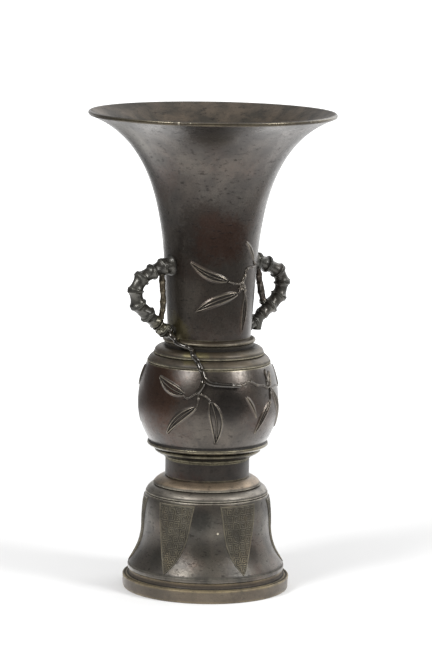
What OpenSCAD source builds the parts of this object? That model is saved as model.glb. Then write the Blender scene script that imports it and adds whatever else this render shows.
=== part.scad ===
// Bronze gu vessel: a trumpet-necked flower vase on a bell foot, with two bamboo
// loop handles and applied bamboo sprays.
// The vessel's axis is Z, it stands on Z = 0, and its front faces -Y.
// An azimuth is counted from the front towards +X, so the handles lie at -90 and 90.

/* [Foot] */
// Radius of the plinth's upper edge
plinth_r = 45.5; // [43:0.5:60]
// Height of the plinth's plain raised band
plinth_h = 7; // [6.6:0.1:10]
// Radius of the recessed band over the plinth
band_r = 42.2; // [41.4:0.1:43]
// Height of the recessed band
band_h = 3.2; // [2:0.1:6]
// Radius of the bell's lower lip
bell_lip_r = 42.7; // [42:0.1:44]
// Height of the bell's lower lip
bell_lip_h = 2.9; // [2:0.1:5]
// Height from the bell's lip to its shoulder line
bell_h = 39.2; // [30:0.1:60]
// Radius of the bell at its upright stretch
bell_r = 35.2; // [33:0.1:38]
// Radius of the bell at its shoulder line
bell_shoulder_r = 33.4; // [31:0.1:35]
// Height of the bell's rounded shoulder
bell_shoulder_h = 4.6; // [4:0.1:10]
// Radius of the step ring on the bell's shoulder
bell_step_r = 29.2; // [27:0.1:31]
// Height of the slope from the step ring up to the stem
bell_cap_h = 4.8; // [3:0.1:8]
// Wall of the bell
bell_wall = 2.6; // [2:0.1:3]

/* [Stem] */
// Radius of the stem
stem_r = 22.9; // [22.4:0.1:23.4]
// Height of the plain stem
stem_h = 10.3; // [6:0.1:16]
// Radius of the stem's thin bead
stem_bead_r = 23.7; // [23.5:0.1:25]
// Height of the stem's thin bead
stem_bead_h = 1.6; // [1:0.1:3]
// Radius of the flange under the belly
flange_r = 28.9; // [27:0.1:31]
// Height of the flange with its coved underside
flange_h = 4; // [3.5:0.1:8]
// Radius of the bore through the stem
stem_bore_r = 19.5; // [15:0.1:20]
// Radius of the stem's two spigots
stem_spigot_r = 21.2; // [20.6:0.1:21.6]
// Length of each of the stem's spigots
stem_spigot_h = 5.5; // [4:0.1:8]

/* [Belly] */
// Largest radius of the belly
belly_r = 38.2; // [36.5:0.1:48]
// Radius of the lip round the belly's underside
belly_lip_r = 32.9; // [31:0.1:34]
// Height of that lip
belly_lip_h = 3; // [2.6:0.1:6]
// Height from the lip up to the largest radius
belly_below_h = 22.4; // [16:0.1:34]
// Height from the largest radius up to the collar
belly_above_h = 21.4; // [18:0.1:34]
// Radius of the belly where the lip meets it
belly_foot_r = 31.3; // [30:0.1:32]
// Wall of the belly
belly_wall = 2.4; // [1.8:0.1:2.8]

/* [Collar] */
// Radius of the lower step, which meets the belly
step_low_r = 33.5; // [33:0.1:34.5]
// Height of the lower step
step_low_h = 4.5; // [3:0.1:7]
// Radius of the upper step
step_high_r = 30; // [28:0.1:31]
// Height of the upper step
step_high_h = 4.6; // [3:0.1:7]
// Radius of the upstand over the steps
upstand_r = 24; // [23.6:0.1:25]
// Height of the upstand
upstand_h = 1.9; // [1:0.1:4]
// Radius of the bead at the foot of the neck
bead_r = 25.2; // [24.6:0.1:27]
// Height of the bead
bead_h = 3; // [2:0.1:4]
// Radius of the collar's spigot in the belly's mouth
collar_spigot_r = 30.2; // [29.6:0.1:30.6]
// Length of the collar's spigot
collar_spigot_h = 5; // [3:0.1:8]

/* [Neck] */
// Radius of the neck at its foot
neck_foot_r = 22.5; // [22.4:0.1:22.9]
// Radius of the neck where the trumpet starts to open
neck_waist_r = 25.1; // [24.6:0.1:26]
// Height of the nearly straight lower neck
neck_straight_h = 39.4; // [36:0.1:60]
// Height of the opening trumpet
trumpet_h = 80; // [60:0.1:100]
// Radius of the mouth, measured on its lip
mouth_r = 67; // [52:0.5:82]
// Height of the rounded lip
lip_h = 2.2; // [1.8:0.1:3]
// Wall of the neck
neck_wall = 2.2; // [1.8:0.1:2.4]
// Radius of the neck's spigot in the collar
neck_spigot_r = 21.6; // [21.2:0.1:21.8]
// Length of the neck's spigot
neck_spigot_h = 12; // [8:0.1:14]

/* [Base] */
// Radius of the plinth's spigot in the bell
plinth_spigot_r = 39.4; // [38.6:0.1:39.8]
// Length of the plinth's spigot
plinth_spigot_h = 4.8; // [3:0.1:8]
// Wall of the plinth's spigot
plinth_spigot_wall = 1.6; // [1.2:0.1:2.4]
// Radius of the base plate
plate_r = 39.9; // [39:0.1:41]
// Thickness of the base plate
plate_t = 2; // [1.5:0.1:2.5]
// Height of the ledge that the base plate is soldered to
ledge_z = 6; // [4:0.1:6.2]

/* [Handles] */
// Radius of a bamboo internode
culm_r = 3.8; // [3:0.1:4]
// Radius of a ring at a bamboo joint
joint_r = 4.8; // [4.4:0.1:5.4]
// Width of a ring at a bamboo joint
joint_w = 1.6; // [1.2:0.1:2.4]
// Height of a handle's upper root over the foot of the neck
root_up = 39.8; // [30:0.1:50]
// Height from a handle's lower root to its upper root
root_span = 35.4; // [32:0.1:36]
// Radius of the socket round a handle's upper root
socket_r = 4.6; // [4.3:0.1:5.4]
// Length of that socket
socket_l = 6.5; // [5:0.1:7.5]
// Radius of the twig inside a handle
twig_r = 1.3; // [1:0.1:1.5]
// Radius of a rivet's shank
rivet_r = 1.5; // [1.2:0.1:1.8]
// Length of a rivet's shank inside the handle
rivet_bite = 3.5; // [2.5:0.1:4]
// Radius of a rivet's head
rivet_head_r = 2.6; // [2.2:0.1:3]
// Thickness of a rivet's head
rivet_head_h = 1; // [0.8:0.1:1.4]

/* [Sprays] */
// Radius of the branch over the shoulder
branch_r = 1.5; // [1.2:0.1:1.8]
// Radius of a knot on that branch
knot_r = 1.8; // [1.6:0.1:2.1]
// Thickness of a leaf and its stalk over the wall
leaf_t = 0.9; // [0.6:0.1:1.2]
// Width of a stalk
stalk_w = 1.7; // [1.2:0.1:2.4]
// Radius of the pegs that hold the branches to the belly
peg_r = 0.8; // [0.6:0.1:1]
// Depth of a peg in the belly's wall
peg_l = 1.4; // [1:0.1:1.5]

/* [Fits] */
// Clearance round each soldered spigot
solder_gap = 0.1; // [0.05:0.01:0.2]
// Clearance round each rivet and peg
pin_gap = 0.1; // [0.05:0.01:0.2]
// Clearance where a handle meets the neck
seat_gap = 0.1; // [0.05:0.01:0.2]

/* [Hidden] */
$fn = 96;
CURVE = 14;
PLINTH_BEVEL = 0.4;
BAND_STEP = 0.2;

// Heights of the joints between the pieces
band_z = plinth_h;
bell_z = band_z + band_h;
bell_flare_z = bell_z + bell_lip_h;
bell_line_z = bell_flare_z + bell_h;
bell_step_z = bell_line_z + bell_shoulder_h;
stem_z = bell_step_z + bell_cap_h;
stem_bead_z = stem_z + stem_h;
flange_z = stem_bead_z + stem_bead_h;
belly_z = flange_z + flange_h;
belly_foot_z = belly_z + belly_lip_h;
belly_mid_z = belly_foot_z + belly_below_h;
collar_z = belly_mid_z + belly_above_h;
step_high_z = collar_z + step_low_h;
upstand_z = step_high_z + step_high_h;
bead_z = upstand_z + upstand_h;
neck_z = bead_z + bead_h;
trumpet_z = neck_z + neck_straight_h;
lip_z = trumpet_z + trumpet_h;

// A cubic curve, a rounded step from low and wide to high and narrow, and an outline moved
// along its normals: all are lists of [radius, height]
function cubic(p, t) =
    pow(1 - t, 3) * p[0] + 3 * pow(1 - t, 2) * t * p[1] + 3 * (1 - t) * t * t * p[2] + t * t * t * p[3];
function curve(p, n = CURVE) = [for (i = [0:n]) cubic(p, i / n)];
function rounded_step(low, high, n = 8) =
    [for (i = [0:n]) let (a = 90 * i / n)
        [high.x + (low.x - high.x) * cos(a), low.y + (high.y - low.y) * sin(a)]];
function reverse(list) = [for (i = [len(list) - 1:-1:0]) list[i]];
function along(list, i) = list[min(i + 1, len(list) - 1)] - list[max(i - 1, 0)];
function moved(list, d) =
    [for (i = [0:len(list) - 1]) let (v = along(list, i)) list[i] + d * [v.y, -v.x] / norm(v)];
function radius_at(list, z) = lookup(z, [for (p = list) [p.y, p.x]]);

// The bell's outline from its lip to its shoulder line, and on to the stem
BELL_SIDE = concat(
    curve([
        [bell_lip_r - 0.3, bell_flare_z],
        [bell_lip_r - 1.9, bell_flare_z + 3.5],
        [bell_r, bell_flare_z + 8.5],
        [bell_r, bell_flare_z + 22.8]
    ]),
    curve([
        [bell_r, bell_flare_z + 23.4],
        [bell_r, bell_line_z - 9.5],
        [bell_shoulder_r + 1.2, bell_line_z - 3.8],
        [bell_shoulder_r, bell_line_z - 0.2]
    ], 8)
);
BELL_TOP = concat(
    rounded_step([bell_shoulder_r - 0.3, bell_line_z + 0.2], [bell_step_r, bell_step_z - 0.1]),
    rounded_step([bell_step_r - 0.3, bell_step_z + 0.2], [stem_r + 0.5, stem_z])
);
BELL_OUTER = concat(
    [[bell_lip_r - 0.3, bell_z], [bell_lip_r, bell_z + 0.4], [bell_lip_r, bell_flare_z - 0.5]],
    BELL_SIDE,
    BELL_TOP
);

// The belly: an upright half of an ellipse under its largest radius and another over it
function ellipse_height(edge_r, h) = h / sqrt(1 - pow(edge_r / belly_r, 2));
function belly_arc(from_h, to_h, a, n = CURVE) =
    [for (i = [0:n]) let (h = from_h + (to_h - from_h) * i / n)
        [belly_r * sqrt(1 - pow(h / a, 2)), belly_mid_z + h]];
BELLY_SIDE = concat(
    belly_arc(-belly_below_h, 0, ellipse_height(belly_foot_r, belly_below_h)),
    [for (p = belly_arc(1.5, belly_above_h, ellipse_height(step_low_r, belly_above_h))) p]
);

// The collar's outside
COLLAR_SIDE = concat(
    rounded_step([step_low_r, collar_z], [step_high_r + 0.3, step_high_z - 0.1]),
    rounded_step([step_high_r, step_high_z + 0.2], [upstand_r + 0.3, upstand_z]),
    [[upstand_r, upstand_z + 0.1], [upstand_r, bead_z - 0.1]],
    [for (i = [0:8]) [bead_r - bead_h / 2 + bead_h / 2 * sin(180 * i / 8), bead_z + bead_h * i / 8]]
);

// The neck's outside, from its foot to the edge of the lip
NECK_SIDE = concat(
    [[neck_foot_r, neck_z]],
    curve([
        [neck_waist_r, trumpet_z],
        [neck_waist_r + 2.6, trumpet_z + 0.476 * trumpet_h],
        [neck_waist_r + 0.273 * (mouth_r - neck_waist_r), trumpet_z + 0.858 * trumpet_h],
        [mouth_r - 0.6, lip_z]
    ], 24)
);
NECK_INNER = moved(NECK_SIDE, -neck_wall);

// The body's outside from the belly to the neck, which the branches follow
SHOULDER = concat(BELLY_SIDE, COLLAR_SIDE, NECK_SIDE);

// Bamboo joints of a handle, each as [distance out from the neck's waist, drop from the upper root]
CULM_JOINTS = [[11.2, -3], [17.8, -6.2], [20.9, -12.6], [19.2, -20], [13.4, -26], [7.4, -31.4]];
root_z = neck_z + root_up;
low_root_z = root_z - root_span;
HANDLE_ROUTE = concat(
    [[neck_waist_r - 2, root_z]],
    [for (p = CULM_JOINTS) [neck_waist_r + p.x, root_z + p.y]],
    [[neck_foot_r - 2, low_root_z]]
);

// Twigs inside the handles, each point as [distance out from the neck's waist, drop from the upper root]
LEFT_TWIG = [[5.1, -6.5], [4.9, -12], [4.4, -19], [4.7, -26.1]];
RIGHT_TWIG = [[4.8, -6.5], [6.2, -12], [8.6, -21.5]];

// Branches, each point as [azimuth, height over the collar's joint with the belly, gap to the body];
// the branch over the shoulder starts just under a handle's lower root
root_up_from_collar = low_root_z - collar_z;
SHOULDER_BRANCH = [
    [-81, root_up_from_collar - 1.8, 4.9], [-77, root_up_from_collar - 3.4, 4.4],
    [-72, 13.4, 3], [-61, 12, 2.6], [-53, 10.9, 3.3],
    [-46, 7.8, 3.2], [-41, 5.2, 3.6], [-38, 1, 2.3], [-35, -2.8, 2.1], [-36, -6, 2.1], [-39, -10, 2.1]
];
SIDE_BRANCH = [[-32.3, -4.1, 1.9], [-29, -5.2, 1.9], [-24, -6, 1.9], [-14, -7, 1.9], [-4, -7.4, 1.9]];
SHOULDER_PEG = SHOULDER_BRANCH[len(SHOULDER_BRANCH) - 2];
SIDE_PEG = SIDE_BRANCH[3];
TUBE_SIDES = 10;
TUBE_STEPS = 3;

// Leaves, each as [[azimuth and height of its tip], [azimuth and height of its base], width];
// heights count from the foot of the neck or, on the belly, from the belly's largest radius
NECK_LEAVES = [
    [[-57, 43], [-10, 33.4], 7],
    [[-51, 16], [6, 25.6], 7],
    [[16, 3.2], [20, 26.5], 5.4],
    [[12, 54], [37, 40.8], 5.4]
];
NECK_STALKS = [
    [[-12, 33.3], [-2, 32.8]], [[-2, 32.8], [12, 29.8]], [[12, 29.8], [5, 25.8]], [[12, 29.8], [20, 26.5]],
    [[12, 29.8], [20, 38.6]], [[20, 38.6], [37, 40.8]]
];
BELLY_LEAVES = [
    [[-79, 17], [-50, 9], 7],
    [[-69, -14], [-40, 2.8], 6.8],
    [[-23, -18], [-29, 6], 8]
];
BELLY_STALKS = [
    [[-52, 9], [-46, 7.6]], [[-46, 7.6], [-39, 9]], [[-39, 9], [-40, 2.8]], [[-39, 9], [-33, 8.6]],
    [[-33, 8.6], [-29, 6]]
];
SIDE_LEAVES = [
    [[10, -4], [-1, 12.6], 5.6],
    [[12, -14], [30, 4], 7.2],
    [[55, -14], [33, 9.6], 7],
    [[39, 19], [31, 11], 5],
    [[65, 20], [60, 8.6], 5.6]
];
SIDE_STALKS = [
    [[-1, 12.6], [3, 15]], [[3, 15], [14, 13]], [[14, 13], [22, 12.2]], [[22, 12.2], [31, 11]],
    [[31, 11], [30, 4]], [[31, 11], [33, 9.6]], [[33, 9.6], [60, 8.6]]
];

// Turns what is built out along +X to an azimuth
module facing(azimuth) {
    rotate([0, 0, azimuth - 90]) children();
}

// A ring of revolution between an inner and an outer outline
module turned(outer, inner) {
    rotate_extrude() polygon(concat(outer, reverse(inner)));
}

// A round bar between two points
module rod(from, to, r) {
    v = to - from;
    translate(from)
        rotate([0, acos(v.z / norm(v)), atan2(v.y, v.x)])
            cylinder(h = norm(v), r = r);
}

// A round bar through a list of points, with a ball at each point after the first
module jointed_rod(points, r, ball_r) {
    for (i = [1:len(points) - 1]) {
        rod(points[i - 1], points[i], r);
        translate(points[i]) sphere(r = ball_r);
    }
}

function unit(v) = v / norm(v);

// A smooth line through a route's points, with a few steps between each two
function spline(p0, p1, p2, p3, t) =
    0.5 * (2 * p1 + t * (p2 - p0) + t * t * (2 * p0 - 5 * p1 + 4 * p2 - p3)
        + t * t * t * (3 * p1 - p0 - 3 * p2 + p3));
function smooth(p) = let (last = len(p) - 1) concat(
    [for (i = [0:last - 1], k = [0:TUBE_STEPS - 1])
        spline(p[max(i - 1, 0)], p[i], p[i + 1], p[min(i + 2, last)], k / TUBE_STEPS)],
    [p[last]]
);

// A knotted twig along a route: thicker at each of the route's points than between them
module twig(route, r, knot) {
    line = smooth(route);
    last = len(line) - 1;
    rings = [for (i = [0:last])
        let (
            t = unit(line[min(i + 1, last)] - line[max(i - 1, 0)]),
            u = unit(cross(t, [line[i].x, line[i].y, 0])),
            v = cross(u, t),
            here = i % TUBE_STEPS == 0 ? knot : r
        )
        for (k = [0:TUBE_SIDES - 1])
            line[i] + here * (cos(360 * k / TUBE_SIDES) * u + sin(360 * k / TUBE_SIDES) * v)];
    sides = [for (i = [0:last - 1], k = [0:TUBE_SIDES - 1])
        let (a = i * TUBE_SIDES + k, b = i * TUBE_SIDES + (k + 1) % TUBE_SIDES)
        for (face = [[a, b, b + TUBE_SIDES], [a, b + TUBE_SIDES, a + TUBE_SIDES]]) face];
    top = last * TUBE_SIDES;
    ends = [for (k = [1:TUBE_SIDES - 2], face = [[0, k + 1, k], [top, top + k, top + k + 1]]) face];
    polyhedron(points = rings, faces = concat(sides, ends));
}

// A disc round a joint, square to the line between its neighbours
module joint_ring(before, point, after) {
    v = after - before;
    translate(point)
        rotate([0, acos(v.z / norm(v)), atan2(v.y, v.x)])
            cylinder(h = joint_w, r = joint_r, center = true);
}

function upright(route) = [for (p = route) [p.x, 0, p.y]];
function twig_points(route) = [for (p = route) [neck_waist_r + p.x, 0, root_z + p.y]];
function branch_points(route) =
    [for (p = route) let (z = collar_z + p.y, r = radius_at(SHOULDER, z) + p.z)
        [r * sin(p.x), -r * cos(p.x), z]];

// The solid inside an outline of the body, grown by the gap that a seated piece keeps
module core(side, gap) {
    grown = moved(side, gap);
    rotate_extrude()
        polygon(concat([[0, grown[0].y]], grown, [[0, grown[len(grown) - 1].y]]));
}

// Holes for the rivets of both handles
module rivet_holes(r) {
    for (azimuth = [-90, 90], z = [root_z, low_root_z])
        facing(azimuth)
            translate([neck_foot_r - neck_wall - 4, 0, z])
                rotate([0, 90, 0]) cylinder(h = 10, r = r);
}

// A peg from a branch's axis down into the belly's wall
module peg(at, r, depth) {
    z = collar_z + at.y;
    facing(at.x)
        translate([radius_at(SHOULDER, z) - depth, 0, z])
            rotate([0, 90, 0]) cylinder(h = depth + at.z, r = r);
}

module neck_trumpet() {
    spigot = [[neck_spigot_r, neck_z - neck_spigot_h], [neck_spigot_r, neck_z]];
    bore_r = neck_foot_r - neck_wall;
    inner = [for (i = [1:len(NECK_INNER) - 1]) NECK_INNER[i]];
    lip = [
        [mouth_r - 0.1, lip_z + 0.25 * lip_h],
        [mouth_r, lip_z + 0.5 * lip_h],
        [mouth_r - 0.1, lip_z + 0.8 * lip_h],
        [mouth_r - 0.6, lip_z + lip_h]
    ];
    color("darkolivegreen")
        difference() {
            turned(
                concat(spigot, NECK_SIDE, lip),
                concat([[bore_r, neck_z - neck_spigot_h], [bore_r, neck_z]], inner)
            );
            rivet_holes(rivet_r + pin_gap);
        }
}

module shoulder_collar() {
    bore_r = neck_spigot_r + solder_gap;
    inside_r = collar_spigot_r - belly_wall;
    spigot = [[collar_spigot_r, collar_z - collar_spigot_h], [collar_spigot_r, collar_z]];
    color("dimgray")
        turned(
            concat(spigot, COLLAR_SIDE, [[neck_foot_r, neck_z]]),
            [
                [inside_r, collar_z - collar_spigot_h],
                [inside_r, collar_z],
                [step_high_r - 3.4, step_high_z - 1.5],
                [bore_r, upstand_z - 1],
                [bore_r, neck_z]
            ]
        );
}

module belly() {
    mouth = collar_spigot_r + solder_gap;
    bore = stem_spigot_r + solder_gap;
    floor_z = belly_z + belly_wall;
    lip = [
        [flange_r - 0.9, belly_z],
        [belly_lip_r - 0.5, belly_z + 0.45 * belly_lip_h],
        [belly_lip_r, belly_z + 0.62 * belly_lip_h],
        [belly_lip_r - 0.2, belly_z + 0.85 * belly_lip_h]
    ];
    mouth_z = collar_z - collar_spigot_h;
    inner = [for (p = moved(BELLY_SIDE, -belly_wall)) if (p.y > floor_z + 2 && p.y < mouth_z - 1) p];
    color("saddlebrown")
        difference() {
            turned(
                concat(lip, BELLY_SIDE, [[step_low_r, collar_z]]),
                concat(
                    [[bore, belly_z], [bore, floor_z]],
                    inner,
                    [[mouth, mouth_z - 0.4], [mouth, collar_z]]
                )
            );
            for (turn = [0, 180], at = [SHOULDER_PEG, SIDE_PEG])
                rotate([0, 0, turn]) peg(at, peg_r + pin_gap, peg_l + pin_gap);
        }
}

module waist_stem() {
    outer = [
        [stem_spigot_r, stem_z - stem_spigot_h],
        [stem_spigot_r, stem_z],
        [stem_r, stem_z],
        [stem_r, stem_bead_z],
        [stem_bead_r, stem_bead_z + 0.3],
        [stem_bead_r, flange_z - 0.3],
        [stem_bead_r + 0.4, flange_z],
        [flange_r - 0.4, flange_z + 0.5 * flange_h],
        [flange_r, flange_z + 0.6 * flange_h],
        [flange_r, flange_z + 0.85 * flange_h],
        [flange_r - 0.6, belly_z],
        [stem_spigot_r, belly_z],
        [stem_spigot_r, belly_z + stem_spigot_h]
    ];
    color("peru")
        turned(outer, [[stem_bore_r, stem_z - stem_spigot_h], [stem_bore_r, belly_z + stem_spigot_h]]);
}

module foot_bell() {
    bore = stem_spigot_r + solder_gap;
    socket = plinth_spigot_r + solder_gap;
    socket_z = bell_z + plinth_spigot_h + solder_gap;
    ceiling_z = bell_step_z - bell_wall;
    inner = [for (p = moved(BELL_SIDE, -bell_wall)) if (p.y > socket_z + 0.4) p];
    shoulder = rounded_step([bell_shoulder_r - bell_wall, bell_line_z], [bell_step_r - bell_wall, ceiling_z]);
    color("sienna")
        turned(
            BELL_OUTER,
            concat(
                [[socket, bell_z], [socket, socket_z]],
                inner,
                shoulder,
                [[bore, ceiling_z], [bore, stem_z]]
            )
        );
}

module plinth_ring() {
    bore = plinth_spigot_r - plinth_spigot_wall;
    recess = plate_r + solder_gap;
    top_z = bell_z + plinth_spigot_h;
    outer = [
        [plinth_r - 0.5, 0],
        [plinth_r - 0.3, PLINTH_BEVEL],
        [plinth_r, band_z - PLINTH_BEVEL],
        [plinth_r - PLINTH_BEVEL, band_z],
        [band_r + BAND_STEP, band_z + BAND_STEP],
        [band_r - BAND_STEP, band_z + 1.2],
        [band_r, bell_z],
        [plinth_spigot_r, bell_z],
        [plinth_spigot_r, top_z]
    ];
    color("darkgoldenrod")
        turned(outer, [[recess, 0], [recess, ledge_z], [bore, ledge_z], [bore, top_z]]);
}

module base_plate() {
    color("goldenrod")
        translate([0, 0, ledge_z - plate_t])
            cylinder(h = plate_t, r = plate_r);
}

// The short socket round a handle's upper root
module root_socket() {
    rod([neck_waist_r - 2, 0, root_z], [neck_waist_r + socket_l, 0, root_z - 1.6], socket_r);
}

// A bamboo loop: straight internodes with a ring at each joint, seated on the neck at both ends
module handle(azimuth) {
    route = upright(HANDLE_ROUTE);
    facing(azimuth)
        difference() {
            union() {
                jointed_rod(route, culm_r, culm_r + 0.3);
                for (i = [1:len(route) - 2])
                    joint_ring(route[i - 1], route[i], route[i + 1]);
                root_socket();
            }
            core(NECK_SIDE, seat_gap);
            for (z = [root_z, low_root_z]) {
                end = radius_at(NECK_SIDE, z) + rivet_bite + pin_gap;
                rod([0, 0, z], [end, 0, z], rivet_r + pin_gap);
            }
        }
}

module handle_left() {
    color("slategray") handle(-90);
}

module handle_right() {
    color("slategray") handle(90);
}

// Two rivets from inside the neck into the roots of one handle, their heads shaped to its wall
module rivets(azimuth) {
    for (z = [root_z, low_root_z]) {
        inside = radius_at(NECK_SIDE, z) - neck_wall;
        facing(azimuth) {
            intersection() {
                translate([inside - rivet_head_h, 0, z])
                    rotate([0, 90, 0]) cylinder(h = 2 * rivet_head_h, r = rivet_head_r);
                core(NECK_INNER, 0);
            }
            translate([inside - 0.5 * rivet_head_h, 0, z])
                rotate([0, 90, 0]) cylinder(h = 0.5 * rivet_head_h + neck_wall + rivet_bite, r = rivet_r);
        }
    }
}

module rivets_left() {
    color("gold") rivets(-90);
}

module rivets_right() {
    color("gold") rivets(90);
}

module inner_twig_left() {
    color("tan") facing(-90) twig(twig_points(LEFT_TWIG), twig_r, twig_r + 0.25);
}

module inner_twig_right() {
    color("tan") facing(90) twig(twig_points(RIGHT_TWIG), twig_r, twig_r + 0.25);
}

// The branch that starts at a handle's lower root, crosses the shoulder and is pegged to the belly
module shoulder_branch() {
    twig(branch_points(SHOULDER_BRANCH), branch_r, knot_r);
    peg(SHOULDER_PEG, peg_r, peg_l);
}

// The shoot that starts at that branch and lies along the top of the belly
module side_branch() {
    twig(branch_points(SIDE_BRANCH), branch_r - 0.2, knot_r - 0.2);
    peg(SIDE_PEG, peg_r, peg_l);
}

// A pointed leaf outline between two arcs, lying along X
module lens(length, width) {
    r = (length * length + width * width) / (4 * width);
    intersection_for (side = [-1, 1])
        translate([0, side * (r - width / 2)]) circle(r = r);
}

// A straight stalk's outline with round ends, lying along X
module strip(length) {
    square([length, stalk_w], center = true);
    for (side = [-1, 1])
        translate([side * length / 2, 0]) circle(r = 0.56 * stalk_w);
}

// Places an outline that lies along X between two places on the wall, and extrudes it outwards
module through_wall(side, base_z, from, to) {
    middle = (from.x + to.x) / 2;
    a = [radius_at(side, base_z + from.y) * sin(from.x - middle), base_z + from.y];
    b = [radius_at(side, base_z + to.y) * sin(to.x - middle), base_z + to.y];
    facing(middle)
        rotate([90, 0, 90])
            linear_extrude(height = 60)
                translate((a + b) / 2) rotate(atan2(b.y - a.y, b.x - a.x)) children();
}

function span_on(side, base_z, from, to) =
    let (r = (radius_at(side, base_z + from.y) + radius_at(side, base_z + to.y)) / 2)
        norm([2 * r * sin((to.x - from.x) / 2), to.y - from.y]);

// Leaves and stalks of even thickness that follow the wall they lie on
module spray(side, base_z, leaves, stalks) {
    intersection() {
        turned(moved(side, leaf_t), side);
        union() {
            for (leaf = leaves)
                through_wall(side, base_z, leaf[0], leaf[1])
                    lens(span_on(side, base_z, leaf[0], leaf[1]), leaf[2]);
            for (stalk = stalks)
                through_wall(side, base_z, stalk[0], stalk[1])
                    strip(span_on(side, base_z, stalk[0], stalk[1]));
        }
    }
}

module neck_spray() {
    spray([for (p = NECK_SIDE) if (p.y < trumpet_z + 30) p], neck_z, NECK_LEAVES, NECK_STALKS);
}

module belly_spray() {
    spray(BELLY_SIDE, belly_mid_z, BELLY_LEAVES, BELLY_STALKS);
}

module side_spray() {
    spray(BELLY_SIDE, belly_mid_z, SIDE_LEAVES, SIDE_STALKS);
}

module shoulder_branch_front() {
    color("gray") shoulder_branch();
}

module shoulder_branch_back() {
    color("gray") rotate([0, 0, 180]) shoulder_branch();
}

module side_branch_front() {
    color("gray") side_branch();
}

module side_branch_back() {
    color("gray") rotate([0, 0, 180]) side_branch();
}

module neck_spray_front() {
    color("cadetblue") neck_spray();
}

module neck_spray_back() {
    color("cadetblue") rotate([0, 0, 180]) neck_spray();
}

module belly_spray_front() {
    color("rosybrown") belly_spray();
}

module belly_spray_back() {
    color("rosybrown") rotate([0, 0, 180]) belly_spray();
}

module side_spray_front() {
    color("khaki") side_spray();
}

module side_spray_back() {
    color("khaki") rotate([0, 0, 180]) side_spray();
}

neck_trumpet();
shoulder_collar();
belly();
waist_stem();
foot_bell();
plinth_ring();
base_plate();
handle_left();
handle_right();
rivets_left();
rivets_right();
inner_twig_left();
inner_twig_right();
shoulder_branch_front();
shoulder_branch_back();
side_branch_front();
side_branch_back();
neck_spray_front();
neck_spray_back();
belly_spray_front();
belly_spray_back();
side_spray_front();
side_spray_back();
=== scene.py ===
import math

import bpy
import numpy as np
from mathutils import Matrix, Vector


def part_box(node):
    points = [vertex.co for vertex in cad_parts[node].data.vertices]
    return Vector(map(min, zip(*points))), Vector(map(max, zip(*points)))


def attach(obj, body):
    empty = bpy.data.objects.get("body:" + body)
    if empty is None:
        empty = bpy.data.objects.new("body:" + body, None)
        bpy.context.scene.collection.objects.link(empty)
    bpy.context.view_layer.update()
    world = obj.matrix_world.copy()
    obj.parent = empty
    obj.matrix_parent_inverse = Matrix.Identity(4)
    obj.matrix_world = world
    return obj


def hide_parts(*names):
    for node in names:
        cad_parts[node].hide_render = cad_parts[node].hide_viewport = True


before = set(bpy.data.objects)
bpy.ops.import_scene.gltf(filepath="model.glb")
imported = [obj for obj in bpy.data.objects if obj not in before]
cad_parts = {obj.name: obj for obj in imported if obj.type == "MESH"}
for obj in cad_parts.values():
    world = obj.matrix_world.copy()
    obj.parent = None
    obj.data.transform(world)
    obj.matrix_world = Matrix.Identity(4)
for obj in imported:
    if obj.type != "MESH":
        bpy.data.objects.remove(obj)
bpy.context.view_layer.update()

# Lengths in this script are millimetres in the vessel's own frame: Z is its axis, its front faces -Y,
# and an azimuth counts in degrees from the front towards +X. MM turns them into metres.
MM = 0.001

# The turned walls' meshes: points round the axis, and the longest stretch of a seen and a hidden outline
SEGMENTS = 260
FINE_STEP = 0.72
COARSE_STEP = 2.5
# An outline's turn over SHARP_TURN degrees is a corner, fully worn or dirty from FULL_TURN on
SHARP_TURN = 12
FULL_TURN = 50
CORNER_ROUNDING = 0.3
WEAR_REACH = 0.36
DIRT_REACH = 0.7

# Heights and outer radii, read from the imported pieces
LOW = {name: np.array(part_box(name)[0]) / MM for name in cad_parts}
HIGH = {name: np.array(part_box(name)[1]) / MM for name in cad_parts}
bell_z = LOW["foot_bell"][2]
stem_z = HIGH["foot_bell"][2]
belly_z = LOW["belly"][2]
collar_z = HIGH["belly"][2]
neck_z = HIGH["shoulder_collar"][2]
top_z = HIGH["neck_trumpet"][2]
plinth_top_z = HIGH["plinth_ring"][2]
plinth_r = HIGH["plinth_ring"][0]
bell_lip_r = HIGH["foot_bell"][0]
belly_r = HIGH["belly"][0]
step_low_r = HIGH["shoulder_collar"][0]
mouth_r = min(*HIGH["neck_trumpet"][:2], *-LOW["neck_trumpet"][:2])

# Radii and heights inside the pieces, as the construction has them
band_z = bell_z - 3.2
band_r = 42.2
bell_flare_z = bell_z + 2.9
bell_line_z = bell_flare_z + 39.2
bell_step_z = stem_z - 4.8
bell_r = 35.2
bell_shoulder_r = 33.4
bell_step_r = 29.2
bell_wall = 2.6
stem_r = 22.9
stem_bead_r = 23.7
stem_bead_z = stem_z + 10.3
flange_z = stem_bead_z + 1.6
flange_r = 28.9
flange_h = belly_z - flange_z
stem_spigot_r = 21.2
stem_bore_r = 19.5
belly_lip_r = 32.9
belly_lip_h = 3.0
belly_foot_r = 31.3
belly_foot_z = belly_z + belly_lip_h
belly_mid_z = belly_foot_z + 22.4
belly_wall = 2.4
step_high_z = collar_z + 4.5
upstand_z = step_high_z + 4.6
bead_z = upstand_z + 1.9
step_high_r = 30.0
upstand_r = 24.0
bead_r = 25.2
neck_foot_r = 22.5
neck_waist_r = 25.1
neck_wall = 2.2
trumpet_z = neck_z + 39.4
lip_h = 2.2
lip_z = top_z - lip_h
SPIGOT = 5.0


def cubic(a, b, c, d, count=48):
    """Points along a cubic curve"""
    t = np.linspace(0, 1, count)[:, None]
    a, b, c, d = (np.array(p, float) for p in (a, b, c, d))
    return list((1 - t) ** 3 * a + 3 * (1 - t) ** 2 * t * b + 3 * (1 - t) * t * t * c + t ** 3 * d)


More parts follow.
